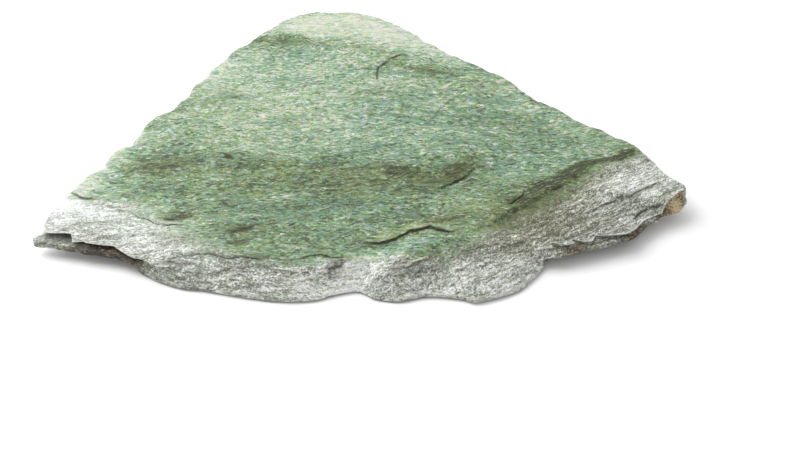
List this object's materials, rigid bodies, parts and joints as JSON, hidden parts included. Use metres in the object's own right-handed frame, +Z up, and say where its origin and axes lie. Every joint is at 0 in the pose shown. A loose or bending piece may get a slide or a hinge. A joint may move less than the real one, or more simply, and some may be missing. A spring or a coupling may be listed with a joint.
{
  "type": "natural green quartzite slab",
  "caption": "Natural cleft slab of green quartzite, fan shaped, with a rough layered grey edge, a split left tip and an undercut right end.",
  "frame": {"origin": "centre of the bounding box's base, on the plane that the slab rests on", "axes": "+X along the long front edge, from the split tip to the undercut end; +Y to the rounded apex at the back; +Z up through the slab's thickness"},
  "size_m": [0.425, 0.3108, 0.0272],
  "materials": {
    "stone": "natural cleft green quartzite, matt, with a pale grey broken edge"
  },
  "bodies": {
    "root": {"slab": "stone"}
  },
  "joints": []
}
